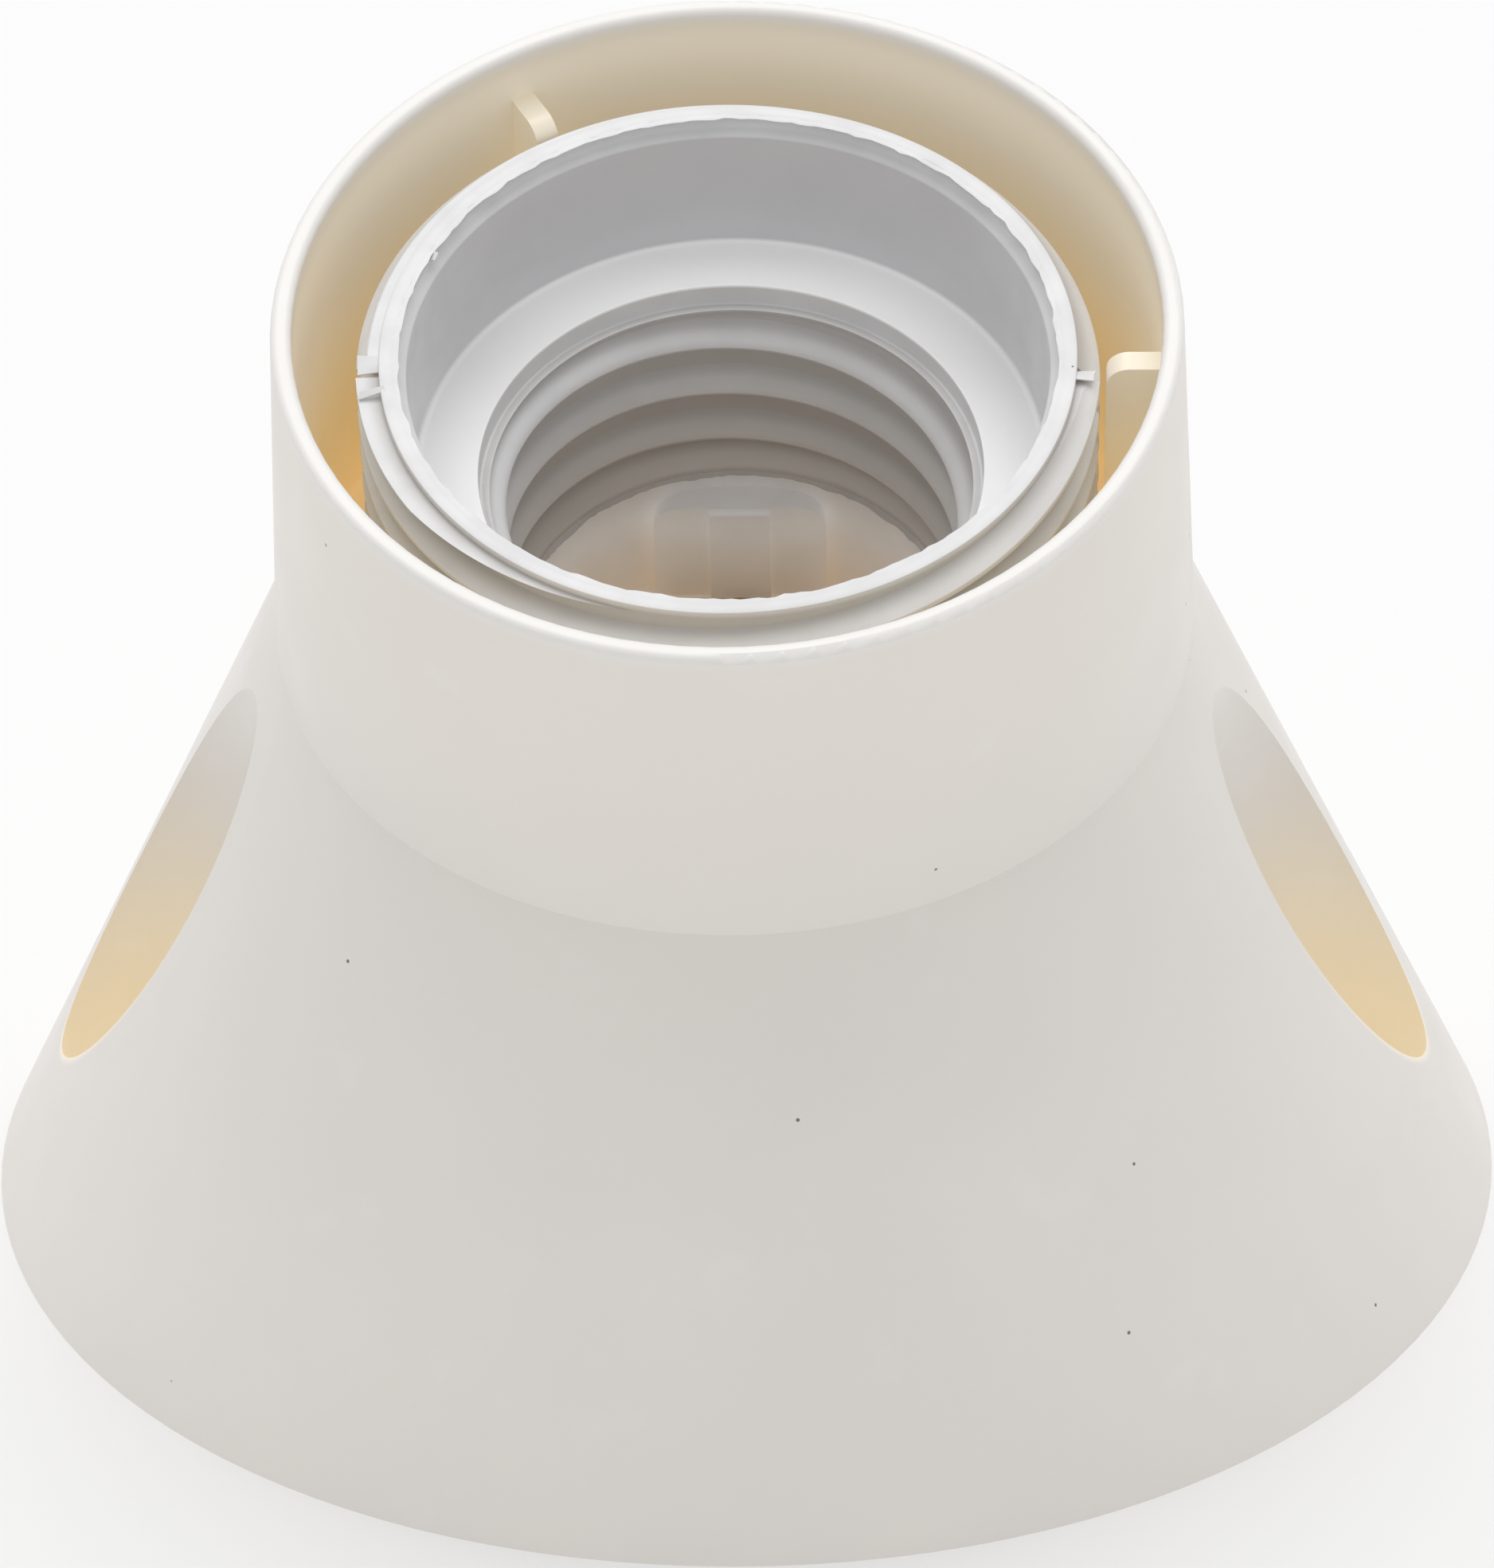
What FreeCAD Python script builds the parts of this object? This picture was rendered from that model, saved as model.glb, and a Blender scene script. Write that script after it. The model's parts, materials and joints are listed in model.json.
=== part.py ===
"""Slanted wall lamp holder for a 27 mm screw lamp: one moulded housing around a threaded socket.

World frame: the wall face is z = 0, the foot's centre is the origin, and the socket leans to -Y.
Socket frame: z runs up the socket's axis from the collar's rim, so a depth below the rim is -z.
"""
import FreeCAD, Part
import math
import os
import re
import Sketcher

V = FreeCAD.Vector

SIZES = {
    # housing: slanted skirt, foot on the wall
    "tilt": 20.0,
    "foot_radius": 43.0,
    "skirt_wall": 1.9,
    "head_height": 46.0,
    "head_inset": 1.6,
    "head_set_back": 4.1,
    # housing: collar round the socket
    "rim_height": 61.7,
    "rim_forward": 16.8,
    "collar_radius": 24.15,
    "collar_wall": 1.1,
    "collar_draft": 2.5,
    "bore_draft": 1.0,
    "lip_round": 0.45,
    "tube_below_seat": 4.5,
    "seat_depth": 22.0,
    "seat_thickness": 2.5,
    "rib_count": 3.0,
    "rib_thickness": 1.3,
    "rib_drop": 3.4,
    "rib_round": 1.2,
    # housing: wells for the wall screws
    "well_spacing": 65.0,
    "well_radius": 6.4,
    "well_wall": 1.5,
    "well_floor": 3.0,
    "wall_screw_hole_radius": 2.3,
    # socket sleeve
    "sleeve_drop": 2.7,
    "barrel_radius": 19.8,
    "barrel_thread_depth": 1.3,
    "barrel_thread_lead": 2.2,
    "barrel_thread_flank": 0.65,
    "barrel_thread_crest": 0.5,
    "barrel_pitch": 2.5,
    "barrel_foot": 5.0,
    "barrel_foot_wall": 1.0,
    "ring_width": 0.9,
    "ring_step": 0.6,
    "ring_ledge": 0.45,
    "recess_depth": 9.0,
    "recess_round": 0.7,
    "floor_thickness": 2.0,
    "mouth_gap": 0.3,
    "mouth_step_depth": 1.35,
    "mouth_step": 0.6,
    "lamp_thread_radius": 13.3,
    "lamp_thread_depth": 1.1,
    "lamp_thread_lead": 0.36,
    "lamp_thread_flank": 0.73,
    "lamp_thread_crest": 1.0,
    "lamp_thread_round": 0.44,
    "lamp_pitch": 3.629,
    "lamp_thread_start": 3.1,
    "tube_wall": 1.4,
    "tube_reach": 1.0,
    "tube_lip": 0.7,
    # contact carrier
    "fit_gap": 0.3,
    "carrier_flange": 2.5,
    "chamber_wall": 1.5,
    "chamber_depth": 35.0,
    "carrier_floor": 3.0,
    "boss_width": 9.7,
    "boss_depth": 1.8,
    "boss_height": 7.2,
    "boss_round": 1.5,
    "boss_rib_width": 3.4,
    "boss_rib_height": 0.3,
    "nest_wall": 1.4,
    "wire_slot_width": 4.2,
    # contacts
    "leaf_thickness": 0.4,
    "centre_leaf_width": 8.4,
    "centre_leaf_lift": 3.5,
    "centre_leaf_reach": 2.2,
    "centre_leaf_flat": 1.9,
    "side_leaf_width": 6.0,
    "side_leaf_height": 5.6,
    "side_leaf_spring": 1.0,
    "side_leaf_tail": 1.1,
    # terminals, screws and rivets
    "rivet_gap": 0.2,
    "terminal_width": 15.0,
    "terminal_depth": 6.6,
    "terminal_height": 7.0,
    "wire_hole_radius": 1.7,
    "terminal_screw_spacing": 8.6,
    "terminal_screw_radius": 1.25,
    "terminal_head_radius": 2.1,
    "terminal_head_height": 1.6,
    "rivet_radius": 1.2,
    "rivet_head_radius": 2.1,
    "rivet_head_height": 0.6,
    "sleeve_screw_inset": 2.2,
    "sleeve_screw_radius": 1.2,
    "sleeve_screw_reach": 5.0,
    "sleeve_boss_radius": 2.1,
    "sleeve_head_radius": 2.3,
    "sleeve_head_height": 1.7,
    "slot_width": 0.7,
    "head_bevel": 0.35,
    "rivet_bevel": 0.3,
    "screw_gap": 0.3,
    "thread_gap": 0.05,
}

# Depths and radii that several pieces share, each worked out from the sizes above.
SHARED = {
    "@mid_wall": "(collar_radius - collar_wall/2)",
    "@bore_at_seat": "(collar_radius - collar_wall - seat_depth*tan(bore_draft))",
    "@tube_depth": "(seat_depth + seat_thickness + tube_below_seat)",
    "@seat_hole": "(lamp_thread_radius + tube_wall + fit_gap)",
    "@barrel_core": "(barrel_radius - barrel_thread_depth)",
    "@foot_top": "(seat_depth - barrel_foot)",
    "@foot_inner": "(barrel_radius - barrel_thread_depth - barrel_foot_wall)",
    "@ring_inner": "(barrel_radius - barrel_thread_depth - ring_width)",
    "@floor_depth": "(sleeve_drop + recess_depth)",
    "@floor_under": "(sleeve_drop + recess_depth + floor_thickness)",
    "@mouth_radius": "(lamp_thread_radius + mouth_gap)",
    "@tube_outer": "(lamp_thread_radius + tube_wall)",
    "@tube_end": "(seat_depth + seat_thickness + tube_reach)",
    "@lamp_crest": "(lamp_thread_radius - lamp_thread_depth)",
    "@thread_top": "(sleeve_drop + recess_depth + lamp_thread_start - mouth_step)",
    "@thread_bottom": "(seat_depth + seat_thickness + tube_reach - tube_lip - lamp_thread_depth"
                      " - lamp_thread_lead)",
    "@carrier_top": "(seat_depth + seat_thickness)",
    "@flange_under": "(seat_depth + seat_thickness + carrier_flange)",
    "@carrier_under": "(chamber_depth + carrier_floor)",
    "@terminal_under": "(chamber_depth + carrier_floor + terminal_height)",
    "@terminal_offset": "(@boss_face - fit_gap - rivet_head_radius - rivet_gap)",
    "@boss_face": "(@chamber_radius - boss_depth - boss_rib_height)",
    "@chamber_radius": "(@screw_offset - sleeve_head_radius - screw_gap - chamber_wall)",
    "@screw_offset": "(barrel_radius - sleeve_screw_inset)",
    "@screw_pilot": "(sleeve_screw_radius + thread_gap)",
    "@screw_clear": "(sleeve_screw_radius + screw_gap)",
    "@screw_top": "(seat_depth - sleeve_screw_reach)",
}

# How far a cutting tool or an embedded root runs past the face that it meets.
OVERLAP = 0.2

doc = FreeCAD.newDocument("slanted_lamp_holder")
sheet = doc.addObject("Spreadsheet::Sheet", "sizes")
sub_parts = []


def fill_sheet():
    for row, (alias, value) in enumerate(SIZES.items(), start=1):
        sheet.set("A%d" % row, alias)
        sheet.set("B%d" % row, repr(value))
        sheet.setAlias("B%d" % row, alias)
    doc.recompute()


def of_sizes(text):
    """Spell an expression out in the sheet's own cells."""
    for short, full in SHARED.items():
        text = re.sub(short + r"\b", full, text)
    return re.sub(r"[a-z_]+", lambda m: "sizes." + m.group() if m.group() in SIZES else m.group(), text)


def number(text):
    value = sheet.evalExpression(of_sizes(text))
    return float(getattr(value, "Value", value))


def bind(thing, path, text):
    thing.setExpression(path, of_sizes(text))


def on_socket(thing, across="0", back="0", depth="0"):
    """Lean a piece with the socket and put its origin at a place in the socket's frame."""
    thing.Placement = FreeCAD.Placement(V(), FreeCAD.Rotation(V(1, 0, 0), SIZES["tilt"]))
    bind(thing, ".Placement.Rotation.Angle", "tilt")
    bind(thing, ".Placement.Base.x", across)
    bind(thing, ".Placement.Base.y",
         "(%s)*cos(tilt) + (%s)*sin(tilt) - rim_forward" % (back, depth))
    bind(thing, ".Placement.Base.z",
         "(%s)*sin(tilt) - (%s)*cos(tilt) + rim_height" % (back, depth))


def make_body(label):
    body = doc.addObject("PartDesign::Body", label)
    body.Label = label
    return body


def keep(thing, label):
    thing.Label = label
    sub_parts.append(thing)
    return thing


def make_sketch(body, name, role, height=None, turn=None):
    """A sketch on one of the body's own planes, lifted along or turned about the socket's axis."""
    sketch = body.newObject("Sketcher::SketchObject", name)
    plane = [f for f in body.Origin.OriginFeatures if f.Role == role][0]
    sketch.AttachmentSupport = [(plane, "")]
    sketch.MapMode = "FlatFace"
    if height:
        bind(sketch, ".AttachmentOffset.Base.z", height)
    if turn:
        sketch.AttachmentOffset = FreeCAD.Placement(V(), FreeCAD.Rotation(V(0, 1, 0), number(turn)))
    return sketch


def hold(sketch, constraint, text):
    index = sketch.addConstraint(constraint)
    bind(sketch, "Constraints[%d]" % index, text)


def outline(sketch, corners):
    """A closed outline of straight sides. A corner is (x, y) or (x, y, radius), as expressions."""
    points = [V(number(c[0]), number(c[1]), 0) for c in corners]
    ends = []
    for i, corner in enumerate(corners):
        if len(corner) == 2:
            ends.append((points[i], points[i]))
            continue
        radius = number(corner[2])
        before = (points[i - 1] - points[i]).normalize()
        after = (points[(i + 1) % len(points)] - points[i]).normalize()
        run = radius / math.tan(before.getAngle(after) / 2)
        ends.append((points[i] + before * run, points[i] + after * run))
    lines = []
    for i in range(len(corners)):
        j = (i + 1) % len(corners)
        lines.append(sketch.addGeometry(Part.LineSegment(ends[i][1], ends[j][0]), False))
    for i, corner in enumerate(corners):
        came, leaves = lines[i - 1], lines[i]
        if len(corner) == 2:
            sketch.addConstraint(Sketcher.Constraint("Coincident", came, 2, leaves, 1))
            hold(sketch, Sketcher.Constraint("DistanceX", -1, 1, leaves, 1, points[i].x), corner[0])
            hold(sketch, Sketcher.Constraint("DistanceY", -1, 1, leaves, 1, points[i].y), corner[1])
        else:
            round_corner(sketch, corner, points[i], ends[i], came, leaves)


def round_corner(sketch, corner, point, ends, came, leaves):
    """An arc tangent to the two sides that would meet at the corner point."""
    radius = number(corner[2])
    inward = ((ends[0] + ends[1]) * 0.5 - point).normalize()
    half_chord = (ends[1] - ends[0]).Length / 2
    centre = (ends[0] + ends[1]) * 0.5 + inward * math.sqrt(radius ** 2 - half_chord ** 2)
    first = math.atan2(ends[0].y - centre.y, ends[0].x - centre.x)
    second = math.atan2(ends[1].y - centre.y, ends[1].x - centre.x)
    clockwise = (ends[0] - centre).cross(ends[1] - centre).z < 0
    start, stop = (second, first) if clockwise else (first, second)
    arc = sketch.addGeometry(Part.ArcOfCircle(Part.Circle(centre, V(0, 0, 1), radius), start, stop), False)
    tip = sketch.addGeometry(Part.Point(point), True)
    sketch.addConstraint(Sketcher.Constraint("Tangent", came, 2, arc, 2 if clockwise else 1))
    sketch.addConstraint(Sketcher.Constraint("Tangent", leaves, 1, arc, 1 if clockwise else 2))
    sketch.addConstraint(Sketcher.Constraint("PointOnObject", tip, 1, came))
    sketch.addConstraint(Sketcher.Constraint("PointOnObject", tip, 1, leaves))
    hold(sketch, Sketcher.Constraint("DistanceX", -1, 1, tip, 1, point.x), corner[0])
    hold(sketch, Sketcher.Constraint("DistanceY", -1, 1, tip, 1, point.y), corner[1])
    hold(sketch, Sketcher.Constraint("Radius", arc, radius), corner[2])


def circles(sketch, centres, radius):
    for x, y in centres:
        circle = Part.Circle(V(number(x), number(y), 0), V(0, 0, 1), number(radius))
        index = sketch.addGeometry(circle, False)
        hold(sketch, Sketcher.Constraint("Radius", index, number(radius)), radius)
        hold(sketch, Sketcher.Constraint("DistanceX", -1, 1, index, 3, number(x)), x)
        hold(sketch, Sketcher.Constraint("DistanceY", -1, 1, index, 3, number(y)), y)


def turned(body, name, corners):
    """Revolve a section, given as (radius, height) corners, about the body's Z axis."""
    sketch = make_sketch(body, name + "_section", "XZ_Plane")
    outline(sketch, corners)
    feature = body.newObject("PartDesign::Revolution", name)
    feature.Profile = sketch
    feature.ReferenceAxis = (sketch, ["V_Axis"])
    feature.Angle = 360.0
    doc.recompute()
    return feature


def padded(body, name, sketch, length, down=False, midplane=False):
    feature = body.newObject("PartDesign::Pad", name)
    feature.Profile = sketch
    bind(feature, "Length", length)
    feature.Reversed = down
    feature.Midplane = midplane
    doc.recompute()
    return feature


def pocketed(body, name, sketch, length, up=False, midplane=False):
    """Cut a sketch out of the body, downwards unless up is set, and see that it takes material."""
    before = body.Shape.Volume
    feature = body.newObject("PartDesign::Pocket", name)
    feature.Profile = sketch
    bind(feature, "Length", length)
    feature.Reversed = up
    feature.Midplane = midplane
    doc.recompute()
    if not body.Shape.Volume < before:
        raise RuntimeError(name + " cuts nothing")
    return feature


def ridge(body, name, corners, pitch, height):
    """A right-hand helical ridge that climbs from its section by a height."""
    sketch = make_sketch(body, name + "_section", "XZ_Plane")
    outline(sketch, corners)
    feature = body.newObject("PartDesign::AdditiveHelix", name)
    feature.Profile = sketch
    feature.ReferenceAxis = (sketch, ["V_Axis"])
    feature.Mode = "pitch-height-angle"
    bind(feature, "Pitch", pitch)
    bind(feature, "Height", height)
    doc.recompute()
    return feature


def make_collar():
    """Collar tube with its drafted walls, the ring that the sleeve sits on, and the guide ribs."""
    body = make_body("collar")
    turned(body, "tube", [
        ("collar_radius", "0", "lip_round"),
        ("collar_radius + @tube_depth*tan(collar_draft)", "-@tube_depth"),
        ("@bore_at_seat", "-@tube_depth"),
        ("@bore_at_seat", "-@carrier_top"),
        ("@seat_hole", "-@carrier_top"),
        ("@seat_hole", "-seat_depth"),
        ("@bore_at_seat", "-seat_depth"),
        ("collar_radius - collar_wall", "0", "lip_round"),
    ])
    for i in range(int(SIZES["rib_count"])):
        sketch = make_sketch(body, "rib_side_%d" % i, "XZ_Plane", turn="%d*360/rib_count" % i)
        outline(sketch, [
            ("@mid_wall", "-rib_drop"),
            ("barrel_radius + fit_gap", "-rib_drop", "rib_round"),
            ("barrel_radius + fit_gap", "-seat_depth - %g" % OVERLAP),
            ("@mid_wall", "-seat_depth - %g" % OVERLAP),
        ])
        padded(body, "rib_%d" % i, sketch, "rib_thickness", midplane=True)
    seat_holes = make_sketch(body, "seat_holes", "XY_Plane", height="-seat_depth + %g" % OVERLAP)
    circles(seat_holes, [("@screw_offset", "0"), ("-@screw_offset", "0")], "@screw_clear")
    pocketed(body, "seat_screw_holes", seat_holes, "seat_thickness + %g" % (2 * OVERLAP))
    on_socket(body)
    return body


def level_circle(name, radius, back, height):
    ring = doc.addObject("Part::Circle", name)
    bind(ring, "Radius", radius)
    bind(ring, ".Placement.Base.y", back)
    bind(ring, ".Placement.Base.z", height)
    return ring


def leaning_cone(name, foot, head):
    """The skirt is a cone that leans with the socket: a loft between two level circles."""
    collar_there = "(rim_height - head_height)*tan(tilt) - rim_forward"
    low = level_circle(name + "_foot", foot, "0", "0")
    high = level_circle(name + "_head", head, collar_there + " + head_set_back", "head_height")
    loft = doc.addObject("Part::Loft", name)
    loft.Sections = [low, high]
    loft.Solid = True
    loft.Ruled = True
    return loft


def socket_cylinder(name, radius, across, foot_depth, height, back="0"):
    rod = doc.addObject("Part::Cylinder", name)
    bind(rod, "Radius", radius)
    bind(rod, "Height", height)
    on_socket(rod, across, back, foot_depth)
    return rod


def fused(name, shapes):
    feature = doc.addObject("Part::MultiFuse", name)
    feature.Shapes = shapes
    return feature


def cut(name, base, tool):
    feature = doc.addObject("Part::Cut", name)
    feature.Base = base
    feature.Tool = tool
    return feature


def make_housing():
    """The moulding: skirt, collar, and two wells that lean with the socket for the wall screws."""
    collar = make_collar()
    skirt = leaning_cone("skirt_outside", "foot_radius", "collar_radius - head_inset")
    hollow = leaning_cone("skirt_inside", "foot_radius - skirt_wall",
                          "collar_radius - head_inset - skirt_wall")
    # A well's axis meets the wall face on the line of the wall screws.
    well_back = "(rim_forward*cos(tilt) - rim_height*sin(tilt))"
    well_foot = "(rim_forward*sin(tilt) + rim_height*cos(tilt)) + 2*well_radius"
    well_height = "rim_height + 2*well_radius"
    side = {"left": "-well_spacing/2", "right": "well_spacing/2"}
    posts = [socket_cylinder("post_" + s, "well_radius + well_wall", x, well_foot, well_height, well_back)
             for s, x in side.items()]
    bores = [socket_cylinder("well_" + s, "well_radius", x, well_foot, well_height, well_back)
             for s, x in side.items()]
    inside_posts = doc.addObject("Part::MultiCommon", "posts_in_skirt")
    inside_posts.Shapes = [skirt, fused("posts", posts)]
    core = socket_cylinder("collar_core", "@mid_wall", "0", "@carrier_top", "@carrier_top")
    shell = cut("open_shell", cut("skirt_shell", skirt, hollow), core)
    walls = cut("walls_with_wells", fused("walls", [shell, inside_posts, collar]), fused("bores", bores))
    slab = doc.addObject("Part::Box", "floor_slab")
    bind(slab, "Length", "2*foot_radius")
    bind(slab, "Width", "2*foot_radius")
    bind(slab, "Height", "well_floor")
    bind(slab, ".Placement.Base.x", "-foot_radius")
    bind(slab, ".Placement.Base.y", "-foot_radius")
    floors = doc.addObject("Part::MultiCommon", "well_floors")
    floors.Shapes = [inside_posts, slab]
    holes = []
    for s, x in side.items():
        hole = doc.addObject("Part::Cylinder", "wall_screw_hole_" + s)
        bind(hole, "Radius", "wall_screw_hole_radius")
        bind(hole, "Height", "well_floor + %g" % (2 * OVERLAP))
        bind(hole, ".Placement.Base.x", x)
        bind(hole, ".Placement.Base.z", "-%g" % OVERLAP)
        holes.append(hole)
    solid = fused("walls_and_floors", [walls, floors])
    solid.Refine = True
    keep(cut("housing", solid, fused("wall_screw_holes", holes)), "housing")


def make_lamp_sleeve():
    """Socket insert: shade-ring thread outside, recess and lamp thread inside, screw bosses below."""
    body = make_body("lamp_sleeve")
    turned(body, "sleeve", [
        ("@ring_inner", "-sleeve_drop"),
        ("@barrel_core", "-sleeve_drop"),
        ("@barrel_core", "-@foot_top"),
        ("barrel_radius", "-@foot_top"),
        ("barrel_radius", "-seat_depth"),
        ("@foot_inner", "-seat_depth"),
        ("@foot_inner", "-@floor_under"),
        ("@tube_outer", "-@floor_under"),
        ("@tube_outer", "-@tube_end"),
        ("@lamp_crest", "-@tube_end"),
        ("@lamp_crest", "-@tube_end + tube_lip"),
        ("lamp_thread_radius", "-@tube_end + tube_lip + lamp_thread_depth"),
        ("lamp_thread_radius", "-@floor_depth - mouth_step_depth - mouth_step"),
        ("@mouth_radius - mouth_step", "-@floor_depth - mouth_step_depth"),
        ("@mouth_radius", "-@floor_depth - mouth_step_depth"),
        ("@mouth_radius", "-@floor_depth"),
        ("@ring_inner - ring_ledge", "-@floor_depth", "recess_round"),
        ("@ring_inner - ring_ledge", "-sleeve_drop - ring_step - ring_ledge"),
        ("@ring_inner", "-sleeve_drop - ring_step"),
    ])
    bosses = make_sketch(body, "boss_circles", "XY_Plane", height="-seat_depth")
    screw_places = [("@screw_offset", "0"), ("-@screw_offset", "0")]
    circles(bosses, screw_places, "sleeve_boss_radius")
    padded(body, "screw_bosses", bosses, "seat_depth - @floor_under + %g" % OVERLAP)
    pilots = make_sketch(body, "pilot_circles", "XY_Plane", height="-seat_depth")
    circles(pilots, screw_places, "@screw_pilot")
    pocketed(body, "screw_pilots", pilots, "sleeve_screw_reach + screw_gap", up=True)
    low = "-@foot_top + barrel_thread_lead"
    ridge(body, "shade_thread", [
        ("@barrel_core - %g" % OVERLAP, low),
        ("@barrel_core", low),
        ("barrel_radius", low + " + barrel_thread_flank"),
        ("barrel_radius", low + " + barrel_thread_flank + barrel_thread_crest"),
        ("@barrel_core", low + " + 2*barrel_thread_flank + barrel_thread_crest"),
        ("@barrel_core - %g" % OVERLAP, low + " + 2*barrel_thread_flank + barrel_thread_crest"),
    ], "barrel_pitch", "@foot_top - sleeve_drop - barrel_thread_lead")
    # The shade ring's thread runs out through the top of the barrel and is trimmed there.
    above = make_sketch(body, "above_the_top", "XY_Plane", height="-sleeve_drop")
    circles(above, [("0", "0")], "barrel_radius + %g" % OVERLAP)
    pocketed(body, "thread_trim", above, "2*barrel_pitch", up=True)
    low = "-@thread_bottom"
    ridge(body, "lamp_thread", [
        ("lamp_thread_radius + %g" % OVERLAP, low),
        ("lamp_thread_radius", low),
        ("@lamp_crest", low + " + lamp_thread_flank", "lamp_thread_round"),
        ("@lamp_crest", low + " + lamp_thread_flank + lamp_thread_crest", "lamp_thread_round"),
        ("lamp_thread_radius", low + " + 2*lamp_thread_flank + lamp_thread_crest"),
        ("lamp_thread_radius + %g" % OVERLAP, low + " + 2*lamp_thread_flank + lamp_thread_crest"),
    ], "lamp_pitch", "@thread_bottom - @thread_top - 2*lamp_thread_flank - lamp_thread_crest")
    on_socket(body)
    keep(body, "lamp_sleeve")


def make_contact_carrier():
    """Insulating cup screwed up behind the seat, with the boss inside and two terminal nests below."""
    body = make_body("contact_carrier")
    turned(body, "cup", [
        ("@seat_hole", "-@carrier_top"),
        ("@bore_at_seat - fit_gap", "-@carrier_top"),
        ("@bore_at_seat - fit_gap", "-@flange_under"),
        ("@chamber_radius + chamber_wall", "-@flange_under"),
        ("@chamber_radius + chamber_wall", "-@carrier_under"),
        ("0", "-@carrier_under"),
        ("0", "-chamber_depth"),
        ("@chamber_radius", "-chamber_depth"),
        ("@chamber_radius", "-@tube_end - fit_gap"),
        ("@seat_hole", "-@tube_end - fit_gap"),
    ])
    half_x = "(terminal_width/2 + fit_gap + nest_wall)"
    half_y = "(@terminal_offset + terminal_depth/2 + fit_gap + nest_wall)"
    nest = make_sketch(body, "nest_plan", "XY_Plane", height="-@carrier_under + %g" % OVERLAP)
    outline(nest, [("-" + half_x, "-" + half_y, "nest_wall"), (half_x, "-" + half_y, "nest_wall"),
                   (half_x, half_y, "nest_wall"), ("-" + half_x, half_y, "nest_wall")])
    padded(body, "nest", nest, "terminal_height + %g" % OVERLAP, down=True)
    boss = make_sketch(body, "boss_front", "XZ_Plane")
    top = "-chamber_depth + boss_height"
    root = "-chamber_depth - %g" % OVERLAP
    outline(boss, [("-boss_width/2", root), ("boss_width/2", root),
                   ("boss_width/2", top, "boss_round"), ("-boss_width/2", top, "boss_round")])
    bind(boss, ".AttachmentOffset.Base.z", "-@chamber_radius + boss_depth")
    padded(body, "boss", boss, "boss_depth + chamber_wall/2", down=True)
    band = make_sketch(body, "boss_band", "XZ_Plane")
    outline(band, [("-boss_rib_width/2", root), ("boss_rib_width/2", root),
                   ("boss_rib_width/2", top + " - boss_rib_height"),
                   ("-boss_rib_width/2", top + " - boss_rib_height")])
    bind(band, ".AttachmentOffset.Base.z", "-@chamber_radius + boss_depth + boss_rib_height")
    padded(body, "boss_rib", band, "boss_rib_height + boss_depth/2", down=True)
    for name, middle in (("live", "@terminal_offset"), ("neutral", "-@terminal_offset")):
        room = make_sketch(body, name + "_room", "XY_Plane", height="-@carrier_under")
        x = "(terminal_width/2 + fit_gap)"
        low, high = ("%s %s (terminal_depth/2 + fit_gap)" % (middle, sign) for sign in "-+")
        outline(room, [("-" + x, low), (x, low), (x, high), ("-" + x, high)])
        pocketed(body, name + "_nest", room, "terminal_height + %g" % OVERLAP)
    slots = make_sketch(body, "wire_slots_front", "XZ_Plane")
    for x in ("terminal_screw_spacing/2", "-terminal_screw_spacing/2"):
        wire = "-@carrier_under - terminal_height/2 + wire_slot_width/2"
        outline(slots, [(x + " - wire_slot_width/2", "-@terminal_under - %g" % OVERLAP),
                        (x + " + wire_slot_width/2", "-@terminal_under - %g" % OVERLAP),
                        (x + " + wire_slot_width/2", wire), (x + " - wire_slot_width/2", wire)])
    pocketed(body, "wire_slots", slots, "2*%s + %g" % (half_y, OVERLAP), midplane=True)
    rivets = make_sketch(body, "rivet_circles", "XY_Plane", height="-chamber_depth")
    circles(rivets, [("0", "@terminal_offset"), ("0", "-@terminal_offset")], "rivet_radius + thread_gap")
    pocketed(body, "rivet_holes", rivets, "carrier_floor + %g" % OVERLAP)
    screws = make_sketch(body, "screw_circles", "XY_Plane", height="-@carrier_top + %g" % OVERLAP)
    circles(screws, [("@screw_offset", "0"), ("-@screw_offset", "0")], "@screw_clear")
    pocketed(body, "flange_holes", screws, "carrier_flange + %g" % (2 * OVERLAP))
    on_socket(body)
    keep(body, "contact_carrier")


def make_leaf(label, side_view, width, rivet_back):
    """A spring-brass leaf: its bent side view, as wide as the strip, with one rivet hole."""
    body = make_body(label)
    sketch = make_sketch(body, label + "_side", "YZ_Plane")
    outline(sketch, side_view)
    padded(body, label + "_strip", sketch, width, midplane=True)
    hole = make_sketch(body, label + "_hole", "XY_Plane", height="-chamber_depth + leaf_thickness")
    circles(hole, [("0", rivet_back)], "rivet_radius + thread_gap")
    pocketed(body, label + "_rivet_hole", hole, "leaf_thickness")
    on_socket(body)
    keep(body, label)


def make_centre_contact():
    """Lies on the chamber's floor from the boss, then springs up to the lamp's tip at the axis."""
    end = "(@boss_face - fit_gap)"
    floor = "-chamber_depth"
    lift = "(-chamber_depth + centre_leaf_lift)"
    make_leaf("centre_contact", [
        (end, floor),
        (end, floor + " + leaf_thickness"),
        ("@terminal_offset - rivet_head_radius - centre_leaf_flat", floor + " + leaf_thickness"),
        ("centre_leaf_reach/2", lift + " + leaf_thickness"),
        ("-centre_leaf_reach/2", lift + " + leaf_thickness"),
        ("-centre_leaf_reach", lift + " - leaf_thickness"),
        ("-centre_leaf_reach - leaf_thickness", lift + " - leaf_thickness/2 - leaf_thickness"),
        ("-centre_leaf_reach/2 - leaf_thickness/4", lift),
        ("centre_leaf_reach/2", lift),
        ("@terminal_offset - rivet_head_radius - centre_leaf_flat", floor),
    ][::-1], "centre_leaf_width", "@terminal_offset")


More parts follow.
